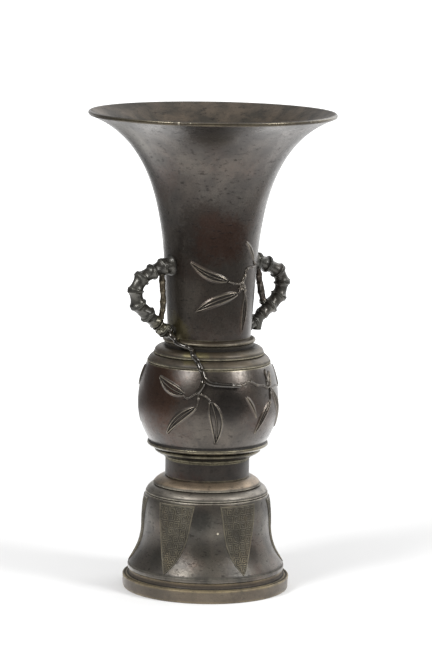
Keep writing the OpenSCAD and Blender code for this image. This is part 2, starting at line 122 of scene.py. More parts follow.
def rounded_step(low, high, fullness):
    """A rounding from low and wide to high and narrow: fullness 1 is an ellipse and 2 a straight slope"""
    turn = np.linspace(0, math.pi / 2, 14)
    across = np.maximum(np.cos(turn), 0) ** fullness
    up = np.sin(turn) ** fullness
    r = high[0] + (low[0] - high[0]) * across
    z = low[1] + (high[1] - low[1]) * up
    return list(np.stack([r, z], axis=1))


def lipped_step(low, high, fullness):
    """A moulding's step: a hollow at its foot, a thin lip and a face up to the next ledge"""
    lip = ((-0.75, 0), (-0.7, 0.3), (-0.08, 0.42), (0, 0.65), (-0.06, 0.9), (-0.3, 1.08))
    face_foot = (low[0] - 0.3, low[1] + 1.2)
    return [np.array([low[0] + r, low[1] + z]) for r, z in lip] + rounded_step(face_foot, high, fullness)


def inset(outline, depth):
    """An outline moved inwards along its normals, listed from its top to its foot"""
    p = np.array(outline, float)
    v = np.gradient(p, axis=0)
    v /= np.linalg.norm(v, axis=1)[:, None]
    moved = p - depth * np.stack([v[:, 1], -v[:, 0]], axis=1)
    return list(moved[::-1])


def smooth_route(points, steps):
    """A smooth line through a list of points of any dimension, in a number of steps from each to the next"""
    p = np.array(points, float)
    p = np.vstack([2 * p[0] - p[1], p, 2 * p[-1] - p[-2]])
    out = []
    for i in range(1, len(p) - 2):
        a, b, c, d = p[i - 1:i + 3]
        square = 2 * a - 5 * b + 4 * c - d
        cube = 3 * b - a - 3 * c + d
        for t in np.arange(steps) / steps:
            out.append(0.5 * (2 * b + t * (c - a) + t * t * square + t ** 3 * cube))
    out.append(p[-2])
    return np.array(out)


def smoothstep(low, high, value):
    t = np.clip((value - low) / (high - low), 0, 1)
    return t * t * (3 - 2 * t)


# Outlines of the wall, each a list of (radius, height) from the foot up
BELL_SIDE = cubic(
    (bell_lip_r - 0.3, bell_flare_z),
    (bell_lip_r - 1.9, bell_flare_z + 3.5),
    (bell_r, bell_flare_z + 8.5),
    (bell_r, bell_flare_z + 22.8),
) + cubic(
    (bell_r, bell_flare_z + 23.4),
    (bell_r, bell_line_z - 9.5),
    (bell_shoulder_r + 1.2, bell_line_z - 3.8),
    (bell_shoulder_r, bell_line_z - 0.2),
    24,
)


def belly_arc(start, end, edge_r, edge_h):
    """A stretch of the belly's ellipse, which reaches the radius edge_r at edge_h from the middle"""
    reach = edge_h / math.sqrt(1 - (edge_r / belly_r) ** 2)
    heights = np.linspace(start, end, 44)
    return [np.array([belly_r * math.sqrt(1 - (h / reach) ** 2), belly_mid_z + h]) for h in heights]


def neck_bead():
    """The squared half-round bead at the foot of the neck"""
    depth = 1.3
    height = neck_z - bead_z - 0.4
    turns = np.linspace(0.02, math.pi - 0.02, 13)
    return [
        np.array([bead_r - depth + depth * math.sin(a) ** 0.7, bead_z + 0.05 + height * a / math.pi])
        for a in turns
    ]


BELLY_SIDE = belly_arc(belly_foot_z - belly_mid_z, 0, belly_foot_r, belly_mid_z - belly_foot_z) + belly_arc(
    0.6, collar_z - belly_mid_z, step_low_r, collar_z - belly_mid_z
)
COLLAR_SIDE = (
    lipped_step((step_low_r, collar_z), (step_high_r + 0.35, step_high_z - 0.15), 1.5)
    + lipped_step((step_high_r, step_high_z), (upstand_r + 0.5, upstand_z - 0.1), 0.9)
    + [np.array([upstand_r, upstand_z]), np.array([upstand_r, bead_z])]
    + neck_bead()
)
NECK_SIDE = [np.array([neck_foot_r, neck_z])] + cubic(
    (neck_waist_r, trumpet_z),
    (neck_waist_r + 2.6, trumpet_z + 0.476 * (lip_z - trumpet_z)),
    (neck_waist_r + 0.273 * (mouth_r - neck_waist_r), trumpet_z + 0.858 * (lip_z - trumpet_z)),
    (mouth_r - 0.6, lip_z),
    96,
)
SHOULDER = BELLY_SIDE + COLLAR_SIDE + NECK_SIDE


def wobble(turn, height):
    """The slight unevenness of a hand-finished casting, in millimetres"""
    return (
        0.022 * np.sin(3 * turn + 0.05 * height + 0.7)
        + 0.016 * np.sin(7 * turn - 0.11 * height + 2.1)
        + 0.012 * np.sin(13 * turn + 0.23 * height + 4.0)
        + 0.010 * np.sin(2 * turn + 0.31 * height)
    )


def on_wall(side, azimuth, height, lift):
    """Points at a lift over a wall; the inputs are arrays of one shape"""
    outline = np.array(side)
    r = np.interp(height, outline[:, 1], outline[:, 0])
    slope = np.interp(height, outline[:, 1], np.gradient(outline[:, 0], outline[:, 1]))
    turn = np.radians(azimuth)
    lean = 1 / np.sqrt(1 + slope ** 2)
    rho = r + wobble(turn, height) + lift * lean
    return np.stack([rho * np.sin(turn), -rho * np.cos(turn), height - lift * slope * lean], axis=-1)


# Shells: a closed surface is a dictionary of its points, its faces and what is painted on its points
def shell(points, faces, wear, dirt, inside=0.0):
    points = np.array(points, float).reshape(-1, 3)
    painted = {"wear": wear, "dirt": dirt, "inside": inside}
    masks = {k: np.broadcast_to(np.asarray(v, float).ravel(), len(points)).copy() for k, v in painted.items()}
    return {"points": points, "faces": faces, "masks": masks}


def quads(rows, cols, wrap_rows=False, wrap_cols=False):
    """Faces of a grid of points that is stored row after row"""
    i = np.arange(rows if wrap_rows else rows - 1)[:, None]
    j = np.arange(cols if wrap_cols else cols - 1)[None, :]
    a = i * cols + j
    b = i * cols + (j + 1) % cols
    c = (i + 1) % rows * cols + (j + 1) % cols
    d = (i + 1) % rows * cols + j
    return np.stack([a, b, c, d], axis=-1).reshape(-1, 4).tolist()


def soften(points, step=FINE_STEP):
    """Rounds an outline's corners and splits its long stretches.

    Gives its points and how worn (on an edge) or dirty (in a corner) each of them is.
    """
    p = [np.array(q, float) for q in points]
    rounded = [p[0]]
    corners = []
    for a, b, c in zip(p[:-2], p[1:-1], p[2:]):
        u = b - a
        v = c - b
        lengths = np.linalg.norm(u), np.linalg.norm(v)
        turn = math.degrees(math.atan2(u[0] * v[1] - u[1] * v[0], u @ v))
        if abs(turn) < SHARP_TURN:
            rounded.append(b)
            continue
        cut = min(CORNER_ROUNDING, 0.4 * lengths[0], 0.4 * lengths[1])
        start = b - u / lengths[0] * cut
        end = b + v / lengths[1] * cut
        rounded += [(1 - t) ** 2 * start + 2 * t * (1 - t) * b + t * t * end for t in np.linspace(0, 1, 6)]
        corners.append((b, turn))
    rounded.append(p[-1])
    fine = [rounded[0]]
    for a, b in zip(rounded[:-1], rounded[1:]):
        count = max(1, math.ceil(np.linalg.norm(b - a) / step))
        fine += [a + (b - a) * k / count for k in range(1, count + 1)]
    fine = np.array(fine)
    wear = np.zeros(len(fine))
    dirt = np.zeros(len(fine))
    for corner, turn in corners:
        away = np.linalg.norm(fine - corner, axis=1)
        strength = min(1, abs(turn) / FULL_TURN)
        if turn > 0:
            wear = np.maximum(wear, strength * np.exp(-(away / WEAR_REACH) ** 2))
        else:
            dirt = np.maximum(dirt, strength * np.exp(-(away / DIRT_REACH) ** 2))
    return fine, wear, dirt


def revolved(outer, inner):
    """A closed ring of revolution between its seen outline, foot to top, and its hidden one, top to foot.

    It is uneven as a casting is, except at the lip, which keeps its true size.
    """
    seen, wear, dirt = soften(outer)
    hidden, hidden_wear, hidden_dirt = soften(inner, step=COARSE_STEP)
    ring = np.vstack([seen, hidden])
    inside = np.concatenate([np.zeros(len(seen)), np.ones(len(hidden))])
    turn = 2 * math.pi * np.arange(SEGMENTS)[None, :] / SEGMENTS
    r = ring[:, :1] + wobble(turn, ring[:, 1:]) * (ring[:, :1] < mouth_r - 1)
    r = np.minimum(r, mouth_r)
    points = np.stack([r * np.sin(turn), -r * np.cos(turn), np.broadcast_to(ring[:, 1:], r.shape)], axis=-1)
    spread = np.ones((1, SEGMENTS))
    return shell(
        points,
        quads(len(ring), SEGMENTS, wrap_rows=True, wrap_cols=True),
        np.concatenate([wear, hidden_wear])[:, None] * spread,
        np.concatenate([dirt, hidden_dirt])[:, None] * spread,
        inside[:, None] * spread,
    )


def patch(top, under, wear, dirt):
    """A closed relief: a grid of points on a wall, with a plain underside sunk into the wall"""
    rows, cols = top.shape[:2]
    left = rows * cols
    right = left + rows
    first = right + rows
    last = first + cols - 2
    points = np.vstack([top.reshape(-1, 3), under[:, 0], under[:, -1], under[0, 1:-1], under[-1, 1:-1]])
    faces = quads(rows, cols)
    for i in range(rows - 1):
        a = i * cols
        b = (i + 1) * cols
        faces.append([a, b, left + i + 1, left + i])
        faces.append([b + cols - 1, a + cols - 1, right + i, right + i + 1])
        faces.append([left + i, left + i + 1, right + i + 1, right + i])
    foot = [left] + [first + k for k in range(cols - 2)] + [right]
    head = [left + rows - 1] + [last + k for k in range(cols - 2)] + [right + rows - 1]
    for j in range(cols - 1):
        a = (rows - 1) * cols + j
        faces.append([j + 1, j, foot[j], foot[j + 1]])
        faces.append([a, a + 1, head[j + 1], head[j]])
    faces.append(foot)
    faces.append(head[::-1])
    rest = np.zeros(len(points) - rows * cols)
    return shell(points, faces, np.concatenate([wear.ravel(), rest]), np.concatenate([dirt.ravel(), rest]))


def sweep(route, radii, sides, bump=None, wear=0.0, dirt=0.0):
    """A closed round bar along a route, with a radius at each point and flat ends.

    bump gives what to add to the radius, from the point's number and the angles round it.
    """
    route = np.array(route, float)
    radii = np.asarray(radii, float)
    along = np.gradient(route, axis=0)
    along /= np.linalg.norm(along, axis=1)[:, None]
    side = np.cross(along[0], [0.3, 0.1, 1.0])
    points = []
    for centre, tangent, r, k in zip(route, along, radii, range(len(route))):
        side = side - tangent * (side @ tangent)
        side /= np.linalg.norm(side)
        other = np.cross(tangent, side)
        turn = 2 * math.pi * np.arange(sides) / sides
        grown = r + (bump(k, turn) if bump else 0)
        ring = centre + (np.cos(turn) * grown)[:, None] * side + (np.sin(turn) * grown)[:, None] * other
        points.append(ring)
    faces = quads(len(route), sides, wrap_cols=True)
    last = (len(route) - 1) * sides
    faces.append(list(range(sides))[::-1])
    faces.append([last + k for k in range(sides)])
    spread = np.ones((1, sides))
    wear = np.broadcast_to(np.asarray(wear, float), len(route))[:, None] * spread
    dirt = np.broadcast_to(np.asarray(dirt, float), len(route))[:, None] * spread
    return shell(np.array(points), faces, wear, dirt)


def turned(shells, azimuth):
    """The same shells turned about the vessel's axis"""
    a = math.radians(azimuth)
    matrix = np.array([[math.cos(a), -math.sin(a), 0], [math.sin(a), math.cos(a), 0], [0, 0, 1]])
    return [dict(s, points=s["points"] @ matrix.T) for s in shells]


def add_object(name, data):
    thing = bpy.data.objects.new(name, data)
    bpy.context.scene.collection.objects.link(thing)
    return thing


def make_piece(name, node, material, shells):
    """One mesh object from its shells, standing for a CAD node where one is named"""
    mesh = bpy.data.meshes.new(name)
    points = np.vstack([s["points"] for s in shells])
    faces = []
    start = 0
    for s in shells:
        faces += [[k + start for k in face] for face in s["faces"]]
        start += len(s["points"])
    mesh.from_pydata((points * MM).tolist(), [], faces)
    for mask in ("wear", "dirt", "inside"):
        layer = mesh.attributes.new(mask, "FLOAT", "POINT")
        layer.data.foreach_set("value", np.concatenate([s["masks"][mask] for s in shells]).astype(np.float32))
    mesh.validate()
    mesh.shade_smooth()
    mesh.set_sharp_from_angle(angle=math.radians(50))
    mesh.materials.append(material)
    piece = add_object(name, mesh)
    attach(piece, "root")
    if node:
        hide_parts(node)


# Material nodes
def srgb(red, green, blue):
    """A colour written as a screen shows it, in the renderer's linear values"""
    channels = (c / 255 for c in (red, green, blue))
    return tuple(c / 12.92 if c <= 0.04045 else ((c + 0.055) / 1.055) ** 2.4 for c in channels) + (1.0,)


def add_node(tree, kind):
    return tree.nodes.new("ShaderNode" + kind)


def new_tree(holder, output):
    """The emptied node tree of a material or a world, and its output node"""
    holder.use_nodes = True
    tree = holder.node_tree
    tree.nodes.clear()
    return tree, add_node(tree, output)


def put(tree, socket, value):
    if isinstance(value, bpy.types.NodeSocket):
        tree.links.new(value, socket)
    else:
        socket.default_value = value


def math_node(tree, operation, a, b):
    node = add_node(tree, "Math")
    node.operation = operation
    put(tree, node.inputs[0], a)
    put(tree, node.inputs[1], b)
    return node.outputs[0]


def times(tree, a, b):
    return math_node(tree, "MULTIPLY", a, b)


def plus(tree, a, b):
    return math_node(tree, "ADD", a, b)


def vector_math(tree, operation, where, other=(0, 0, 0)):
    node = add_node(tree, "VectorMath")
    node.operation = operation
    tree.links.new(where, node.inputs[0])
    node.inputs[1].default_value = other
    return node.outputs["Value"]


def remap(tree, value, low, high, to_low=0.0, to_high=1.0):
    node = add_node(tree, "MapRange")
    node.interpolation_type = "SMOOTHSTEP"
    for key, number in (("From Min", low), ("From Max", high), ("To Min", to_low), ("To Max", to_high)):
        node.inputs[key].default_value = number
    put(tree, node.inputs["Value"], value)
    return node.outputs["Result"]


def mix(tree, factor, a, b, blend="MIX"):
    node = add_node(tree, "Mix")
    node.data_type = "RGBA"
    node.blend_type = blend
    put(tree, node.inputs[0], factor)
    put(tree, node.inputs[6], a)
    put(tree, node.inputs[7], b)
    return node.outputs[2]


def noise(tree, where, size, detail, roughness=0.55, distortion=0.0):
    """Noise whose blotches are about size millimetres across"""
    node = add_node(tree, "TexNoise")
    node.inputs["Scale"].default_value = 1 / (size * MM)
    node.inputs["Detail"].default_value = detail
    node.inputs["Roughness"].default_value = roughness
    node.inputs["Distortion"].default_value = distortion
    tree.links.new(where, node.inputs["Vector"])
    return node.outputs["Fac"]


def shifted(tree, where, offset, stretch=(1, 1, 1)):
    node = add_node(tree, "Mapping")
    node.inputs["Location"].default_value = offset
    node.inputs["Scale"].default_value = stretch
    tree.links.new(where, node.inputs["Vector"])
    return node.outputs["Vector"]


def painted(tree, name):
    node = add_node(tree, "Attribute")
    node.attribute_name = name
    return node.outputs["Fac"]


def near(tree, where, centre, reach):
    """1 at a place on the vessel, falling to 0 at a reach; centre is (azimuth, radius, height)"""
    a = math.radians(centre[0])
    spot = (centre[1] * math.sin(a) * MM, -centre[1] * math.cos(a) * MM, centre[2] * MM)
    return remap(tree, vector_math(tree, "DISTANCE", where, spot), 0.25 * reach * MM, reach * MM, 1.0, 0.0)


GRIME = srgb(20, 18, 15)
EDGE = srgb(146, 138, 112)
CHIP = srgb(214, 206, 186)
VERDIGRIS = srgb(84, 94, 84)
RED_BROWN = srgb(82, 46, 28)


def bronze(
    name,
    dark,
    mid,
    green,
    rust,
    rough=0.36,
    metal=0.8,
    edge=EDGE,
    inside=None,
    grain=0.1,
    patches=(),
    bands=(),
    coat=0.55,
    gloss=0.24,
    pits=0.5,
):
    """Old patinated bronze under a thin satin lacquer of age.

    dark and mid are its two main tones, green and rust say how much of it is grey-green or red-brown,
    edge is the tone of worn edges, on the collar and the leaves partly a painted highlight, and inside the
    two tones of a hidden wall. patches lists (colour, centre, reach, strength) for single soft patches:
    stains, and on the neck and the belly also painted reflections. bands lists (colour, low, high, strength)
    for stretches of height with a tone of their own, on the collar and the bell also painted shade and
    painted highlight. grain is the strength of the bump, and coat and gloss the lacquer's amount and
    roughness.
    """
    material = bpy.data.materials.new(name)
    tree, output = new_tree(material, "OutputMaterial")
    shader = add_node(tree, "BsdfPrincipled")
    tree.links.new(shader.outputs[0], output.inputs["Surface"])
    where = add_node(tree, "TexCoord").outputs["Object"]

    broad = noise(tree, where, 30, 3)
    cloud = noise(tree, shifted(tree, where, (0.31, 0.12, 0.07)), 12, 6, 0.6, 0.3)
    speck = noise(tree, where, 1.6, 5, 0.7)
    pit = noise(tree, shifted(tree, where, (0.2, 0.1, 0.6), (1, 1, 2.2)), 3.2, 6, 0.7)
    fine = noise(tree, where, 0.5, 3, 0.6)

    colour = mix(tree, remap(tree, cloud, 0.3, 0.7), dark, mid)
    stain = times(tree, remap(tree, broad, 0.5, 0.7), remap(tree, speck, 0.3, 0.62))
    colour = mix(tree, times(tree, stain, rust), colour, RED_BROWN)
    bloom = noise(tree, shifted(tree, where, (0.05, 0.4, 0.22)), 11, 6, 0.66, 0.8)
    bloom = times(tree, remap(tree, bloom, 0.44, 0.7), green)
    colour = mix(tree, bloom, colour, VERDIGRIS)
    dull = 0.0
    for tone, centre, reach, strength in patches:
        inner = near(tree, where, centre, reach)
        ragged = plus(tree, inner, remap(tree, cloud, 0.25, 0.75, -0.35, 0.35))
        ragged = plus(tree, ragged, remap(tree, speck, 0.25, 0.75, -0.2, 0.2))
        spot = times(tree, remap(tree, ragged, 0.1, 1.0), remap(tree, inner, 0.0, 0.3))
        spot = times(tree, spot, strength)
        colour = mix(tree, spot, colour, tone)
        dull = math_node(tree, "MAXIMUM", dull, spot)
    split = add_node(tree, "SeparateXYZ")
    tree.links.new(where, split.inputs[0])
    for tone, low, high, strength in bands:
        lower = remap(tree, split.outputs[2], (low - 0.4) * MM, (low + 0.4) * MM)
        upper = remap(tree, split.outputs[2], (high - 0.4) * MM, (high + 0.4) * MM, 1.0, 0.0)
        ragged = times(tree, times(tree, lower, upper), strength)
        ragged = times(tree, ragged, remap(tree, cloud, 0.3, 0.6, 0.45, 1.0))
        colour = mix(tree, ragged, colour, tone)
        dull = math_node(tree, "MAXIMUM", dull, ragged)
    hollow = painted(tree, "inside")
    if inside:
        colour = mix(tree, hollow, colour, mix(tree, remap(tree, cloud, 0.35, 0.65), *inside))
    shade = mix(tree, remap(tree, fine, 0.25, 0.75), (0.8, 0.8, 0.8, 1), (1.2, 1.19, 1.17, 1))
    pitted = times(tree, remap(tree, pit, 0.54, 0.66), pits)
    shade = mix(tree, pitted, shade, (0.35, 0.34, 0.33, 1))
    colour = mix(tree, 1.0, colour, shade, "MULTIPLY")

    dirt = times(tree, painted(tree, "dirt"), remap(tree, speck, 0.2, 0.55, 0.6, 1.0))
    colour = mix(tree, dirt, colour, GRIME)
    wear = times(tree, painted(tree, "wear"), remap(tree, cloud, 0.3, 0.6, 0.3, 0.95))
    wear = times(tree, wear, remap(tree, speck, 0.3, 0.6, 0.3, 0.9))
    colour = mix(tree, wear, colour, edge)
    tree.links.new(colour, shader.inputs["Base Color"])

    rubbed = remap(tree, cloud, 0.3, 0.7, rough + 0.07, rough - 0.04)
    rubbed = plus(tree, rubbed, times(tree, dirt, 0.3))
    rubbed = plus(tree, rubbed, times(tree, hollow, 0.2))
    rubbed = math_node(tree, "SUBTRACT", rubbed, times(tree, wear, 0.08))
    rubbed = plus(tree, rubbed, remap(tree, fine, 0.2, 0.8, -0.04, 0.04))
    tree.links.new(rubbed, shader.inputs["Roughness"])
    shine = math_node(tree, "SUBTRACT", metal, times(tree, dirt, 0.3))
    tree.links.new(shine, shader.inputs["Metallic"])
    matt = math_node(tree, "MAXIMUM", dirt, times(tree, pitted, 0.8))
    matt = math_node(tree, "MAXIMUM", matt, times(tree, dull, 0.8))
    matt = math_node(tree, "MAXIMUM", matt, times(tree, hollow, 0.8))
    kept = math_node(tree, "SUBTRACT", 1.0, matt)
    tree.links.new(times(tree, kept, coat), shader.inputs["Coat Weight"])
    tree.links.new(remap(tree, cloud, 0.25, 0.75, gloss + 0.08, gloss), shader.inputs["Coat Roughness"])

    height = times(tree, fine, 0.35)
    height = plus(tree, height, times(tree, speck, 0.8))
    height = plus(tree, height, times(tree, cloud, 1.2))
    height = math_node(tree, "SUBTRACT", height, times(tree, pitted, 0.5))
    bump = add_node(tree, "Bump")
    bump.inputs["Strength"].default_value = grain
    bump.inputs["Distance"].default_value = 0.5 * MM
    tree.links.new(height, bump.inputs["Height"])
    tree.links.new(bump.outputs["Normal"], shader.inputs["Normal"])
    tree.links.new(bump.outputs["Normal"], shader.inputs["Coat Normal"])
    return material


DARK = srgb(48, 42, 37)
MID = srgb(72, 65, 58)
NECK = bronze(
    "neck_bronze", DARK, MID, green=0.05, rust=0.25, inside=(srgb(60, 56, 50), srgb(90, 80, 69)),
    pits=0.9, grain=0.15,
    patches=(
        # a darker brown over the lower neck's front, partly painted dark reflection of the dim room in front
        (srgb(38, 33, 28), (-26, 24, 170), 46, 0.65),
        # painted dark reflection on the front of the flare's lower part
        (srgb(34, 27, 22), (-35, 27, 199), 27, 0.8),
        (srgb(48, 29, 19), (-17, 27, 195), 23, 0.8),
        # painted dark reflection on the flare, left of the front
        (srgb(44, 38, 34), (-62, 30, 222), 18, 0.5),
        (srgb(80, 74, 67), (-67, 24, 163), 16, 0.5),
        # painted reflection of the bright floor on the flare's left
        (srgb(104, 100, 93), (-88, 53, 249), 20, 0.6),
        # painted dark reflection under the lip, on the flare's front
        (srgb(66, 61, 55), (-27, 60, 250), 18, 0.5),
        (srgb(84, 77, 51), (-88, 23, 142), 16, 0.75),
        (CHIP, (-46.3, 66.5, 259), 1.3, 1.0),
        (CHIP, (-41, 66.5, 259.2), 0.9, 1.0),
        (CHIP, (19.1, 66.5, 259), 1.0, 0.9),
    ),
    bands=((srgb(56, 46, 34), 257.8, 259.3, 0.85),),
)
COLLAR = bronze(
    # the pale edge tone is wear on the steps' lips and bead, partly a painted highlight there
    "collar_bronze", srgb(58, 51, 42), srgb(84, 75, 61), green=0.1, rust=0.35, edge=srgb(158, 150, 128),
    rough=0.46, coat=0.25, metal=0.7, grain=0.16,
    patches=(
        (srgb(106, 98, 64), (-50, 30, 131), 8, 0.65),
        (srgb(104, 97, 66), (-38, 30, 131.5), 6, 0.6),
    ),
    # painted shade in the recess of the upstand under the bead
    bands=((srgb(38, 33, 27), 133.2, 135.0, 0.8),),
)
BELLY = bronze(
    "belly_bronze", srgb(46, 40, 35), srgb(70, 63, 56), green=0.05, rust=0.3, grain=0.13, pits=0.7,
    patches=(
        (srgb(58, 38, 27), (-86, 37, 110), 34, 0.85),
        # painted dark reflection of the room on the belly's front
        (srgb(30, 27, 25), (-14, 38, 106), 16, 0.75),
        # painted reflection of the bright floor on the lower belly's front
        (srgb(88, 82, 75), (-28, 36, 88), 17, 0.45),
    ),
)
STEM = bronze(
    "stem_bronze", srgb(32, 28, 25), srgb(49, 43, 38), green=0.04, rust=0.35, rough=0.45, coat=0.2,
    grain=0.14,
)
BELL = bronze(
    "bell_bronze", srgb(54, 50, 45), srgb(82, 76, 68), green=0.08, rust=0.25, edge=srgb(168, 161, 146),
    rough=0.42, coat=0.45, gloss=0.3, grain=0.2, pits=0.8,
    patches=(
        (srgb(34, 34, 31), (-38, 35, 44), 11, 0.7),
        (srgb(38, 37, 33), (-70, 40, 22), 13, 0.65),
        (srgb(38, 37, 33), (8, 40, 24), 11, 0.65),
        (srgb(46, 45, 40), (-36, 38, 28), 9, 0.5),
        (CHIP, (-20.6, 35.3, 36.2), 0.7, 0.9),
    ),
    # the cap's band is a paler brown that also stands in for light from above; the shoulder's band is a
    # painted highlight
    bands=((srgb(154, 137, 116), 58.0, 61.6, 0.85), (srgb(150, 144, 134), 52.8, 57.0, 0.5)),
)
PLINTH = bronze(
    "plinth_bronze", srgb(68, 60, 50), srgb(92, 82, 69), green=0.06, rust=0.3, edge=srgb(142, 127, 92),
    rough=0.58, metal=0.35, coat=0.15, grain=0.2,
    patches=(
        (srgb(96, 86, 72), (-32, 45.5, 4), 26, 0.4),
        (srgb(66, 58, 49), (-82, 45.5, 4), 24, 0.3),
        (CHIP, (-19.3, 43.6, 9.6), 0.8, 1.0),
    ),
    bands=((srgb(92, 80, 66), 7.4, 10.6, 0.8),),
)
FRET = bronze(
    "fret_bronze", srgb(72, 68, 59), srgb(100, 95, 82), green=0.06, rust=0.2, edge=srgb(152, 137, 106),
    rough=0.52, metal=0.65, grain=0.22, coat=0.15,
)
BAMBOO = bronze(
    "bamboo_bronze", srgb(50, 49, 46), srgb(80, 78, 72), green=0.05, rust=0.15, edge=srgb(132, 131, 120),
    rough=0.4, coat=0.4,
    patches=((srgb(80, 74, 52), (-90, 31, 147), 9, 0.5),),
)
TWIG = bronze(
    "twig_bronze", srgb(58, 52, 43), srgb(96, 86, 69), green=0.05, rust=0.15, edge=srgb(146, 134, 108),
)
BRANCH = bronze(
    "branch_bronze", srgb(28, 24, 19), srgb(50, 43, 32), green=0.02, rust=0.05, rough=0.22, coat=1.0,
    gloss=0.08, pits=0.0, grain=0.04,
)
# its pale edge tone is wear on the leaves' rims, partly a painted highlight
LEAF = bronze("leaf_bronze", DARK, MID, green=0.05, rust=0.3, edge=srgb(130, 121, 105))
HIDDEN = bronze("hidden_bronze", srgb(64, 56, 40), srgb(110, 96, 66), green=0.2, rust=0.3, rough=0.5)


# Pieces of the vessel's wall
def make_plinth():
    spigot_r = 39.4
    outer = [
        (plinth_r - 0.6, 0),
        (plinth_r - 0.35, 0.5),
        (plinth_r - 0.1, band_z - 1.2),
        (plinth_r, band_z - 0.6),
        (plinth_r - 0.25, band_z - 0.1),
        (plinth_r - 0.8, band_z),
        (plinth_r - 1.15, band_z - 0.35),
        (plinth_r - 1.6, band_z - 0.35),
        (plinth_r - 2.0, band_z + 0.05),
        (band_r + 0.2, band_z + 0.15),
        (band_r - 0.3, band_z + 1.2),
        (band_r - 0.1, bell_z),
        (spigot_r, bell_z),
        (spigot_r, plinth_top_z),
    ]
    inner = [(37.8, plinth_top_z), (37.8, 6), (40, 6), (40, 0)]
    make_piece("plinth", "plinth_ring", PLINTH, [revolved(outer, inner)])


def make_bell():
    socket = 39.5
    socket_z = plinth_top_z + 0.1
    bore = stem_spigot_r + 0.1
    ceiling_z = bell_step_z - bell_wall
    outer = (
        [(bell_lip_r - 0.5, bell_z), (bell_lip_r, bell_z + 0.5), (bell_lip_r, bell_flare_z - 0.6)]
        + [(bell_lip_r - 0.4, bell_flare_z - 0.1)]
        + BELL_SIDE
        + lipped_step((bell_shoulder_r - 0.1, bell_line_z), (bell_step_r + 0.4, bell_step_z - 0.1), 1.35)
        + lipped_step((bell_step_r, bell_step_z), (stem_r + 0.4, stem_z), 1.45)
    )
    inner = (
        [(bore, stem_z), (bore, ceiling_z), (bell_step_r - bell_wall, ceiling_z)]
        + [p for p in inset(BELL_SIDE, bell_wall)[::4] if p[1] > socket_z + 1]
        + [(socket, socket_z), (socket, bell_z)]
    )
    wall = revolved(outer, inner)
    wall["masks"]["wear"] *= np.where(wall["points"][:, 2] < bell_flare_z + 0.6, 0.3, 1)
    make_piece("bell", "foot_bell", BELL, [wall])


def make_stem():
    outer = [
        (stem_spigot_r, stem_z - SPIGOT),
        (stem_spigot_r, stem_z),
        (stem_r, stem_z),
        (stem_r, stem_bead_z - 0.2),
        (stem_r - 0.3, stem_bead_z),
        (stem_bead_r, stem_bead_z + 0.35),
        (stem_bead_r, flange_z - 0.5),
        (stem_bead_r - 0.4, flange_z - 0.1),
    ]
    outer += cubic(
        (stem_bead_r + 0.3, flange_z + 0.15),
        (stem_bead_r + 2.4, flange_z + 0.3),
        (flange_r - 1.6, flange_z + 1.2),
        (flange_r - 0.3, flange_z + 0.52 * flange_h),
        12,
    )
    outer += [
        (flange_r, flange_z + 0.62 * flange_h),
        (flange_r, flange_z + 0.86 * flange_h),
        (flange_r - 0.8, belly_z),
        (stem_spigot_r, belly_z),
        (stem_spigot_r, belly_z + SPIGOT),
    ]
    inner = [(stem_bore_r, belly_z + SPIGOT), (stem_bore_r, stem_z - SPIGOT)]
    make_piece("stem", "waist_stem", STEM, [revolved(outer, inner)])


def make_belly():
    bore = stem_spigot_r + 0.1
    mouth = 30.3
    mouth_z = collar_z - SPIGOT
    floor_z = belly_z + belly_wall
    lip = [
        (bore, belly_z),
        (flange_r - 1.0, belly_z),
        (belly_lip_r - 0.9, belly_z + 0.35 * belly_lip_h),
        (belly_lip_r, belly_z + 0.62 * belly_lip_h),
        (belly_lip_r - 0.1, belly_foot_z - 0.1),
        (belly_lip_r - 0.7, belly_foot_z + 0.25),
    ]
    outer = lip + BELLY_SIDE[2:] + [(step_low_r - 0.4, collar_z)]
    walls = [p for p in inset(BELLY_SIDE, belly_wall)[::4] if floor_z + 2 < p[1] < mouth_z - 1]
    inner = [(mouth, collar_z), (mouth, mouth_z - 0.4)] + walls + [(bore, floor_z), (bore, belly_z + 0.3)]
    make_piece("belly_wall", "belly", BELLY, [revolved(outer, inner)])


def make_collar():
    spigot_r = 30.2
    bore = 21.7
    outer = [(spigot_r, collar_z - SPIGOT), (spigot_r, collar_z)] + COLLAR_SIDE + [(neck_foot_r, neck_z)]
    inner = [
        (bore, neck_z),
        (bore, upstand_z - 1),
        (step_high_r - 3.4, step_high_z - 1.5),
        (spigot_r - belly_wall, collar_z),
        (spigot_r - belly_wall, collar_z - SPIGOT),
    ]
    make_piece("collar", "shoulder_collar", COLLAR, [revolved(outer, inner)])


def make_neck():
    spigot_r = 21.6
    spigot_z = neck_z - 12
    bore = neck_foot_r - neck_wall
    lip = [
        (mouth_r - 0.35, lip_z + 0.12 * lip_h),
        (mouth_r - 0.02, lip_z + 0.4 * lip_h),
        (mouth_r - 0.1, lip_z + 0.75 * lip_h),
        (mouth_r - 0.7, top_z),
    ]
    outer = [(spigot_r, spigot_z), (spigot_r, neck_z)] + NECK_SIDE + lip
    inner = [(mouth_r - 1.5, top_z - 0.1), (mouth_r - 2.3, top_z - 0.45)]
    inner += [p for p in inset(NECK_SIDE, neck_wall)[:-1:2] if p[0] < mouth_r - 2.6]
    inner += [(bore, neck_z), (bore, spigot_z)]
    wall = revolved(outer, inner)
    wall["masks"]["wear"] *= np.where(wall["points"][:, 2] > lip_z - 0.2, 0.45, 1)
    make_piece("neck", "neck_trumpet", NECK, [wall])


# Reliefs on the wall; SUNK is how deep their plain undersides lie in it
SUNK = 0.6

